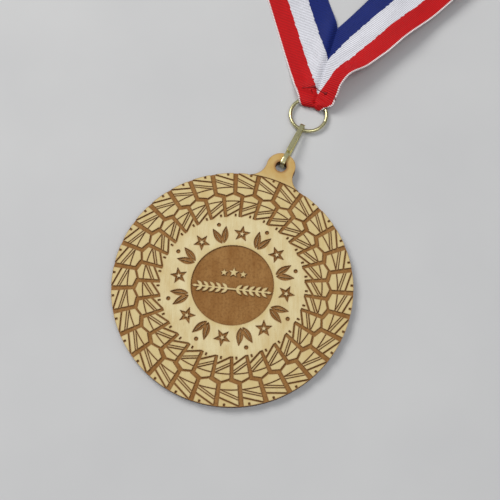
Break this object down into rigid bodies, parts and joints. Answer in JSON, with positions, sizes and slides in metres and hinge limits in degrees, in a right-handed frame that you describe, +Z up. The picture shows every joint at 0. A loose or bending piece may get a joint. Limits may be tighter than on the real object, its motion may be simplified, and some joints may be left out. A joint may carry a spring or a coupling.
{
  "type": "medal",
  "caption": "Round engraved plywood medal with a hanging tab, a bent brass clip, a split jump ring and a striped neck ribbon folded up beyond it.",
  "frame": {"origin": "centre of the disc's flat back", "axes": "+Z up out of the engraved face as the medal lies flat, +Y from the disc's centre to the tab, clip and ribbon"},
  "size_m": [0.1093, 0.2403, 0.0056],
  "materials": {
    "engraved_wood": "sanded, laser engraved",
    "core_wood": "laser cut edge",
    "back_wood": "sanded",
    "clip_brass": "bright plated",
    "ring_brass": "bright plated",
    "ribbon_cloth": "ribbed grosgrain weave",
    "thread": "twisted sewing thread"
  },
  "bodies": {
    "medal": {"face_ply": "engraved_wood", "core_ply": "core_wood", "back_ply": "back_wood"},
    "clip": {"clip": "clip_brass"},
    "ring": {"jump_ring": "ring_brass", "ribbon_pocket": "ribbon_cloth", "stitching": "thread"},
    "ribbon": {"left_strand": "ribbon_cloth", "right_strand": "ribbon_cloth", "ribbon_pack": "ribbon_cloth"}
  },
  "joints": [
    {"name": "clip_swing", "type": "hinge", "parent": "medal", "child": "clip", "pos_m": [0, 0.0513, 0.0019], "axis": [0, 0, 1], "range_deg": [-60, 60]},
    {"name": "ring_flip", "type": "hinge", "parent": "clip", "child": "ring", "pos_m": [0.00145, 0.07014, 0.00117], "axis": [0.9971, -0.0767, 0], "range_deg": [0, 110]},
    {"name": "ribbon_fold", "type": "hinge", "parent": "ring", "child": "ribbon", "pos_m": [0, 0.0892, 0.00087], "axis": [1, 0, 0], "range_deg": [0, 45]}
  ]
}
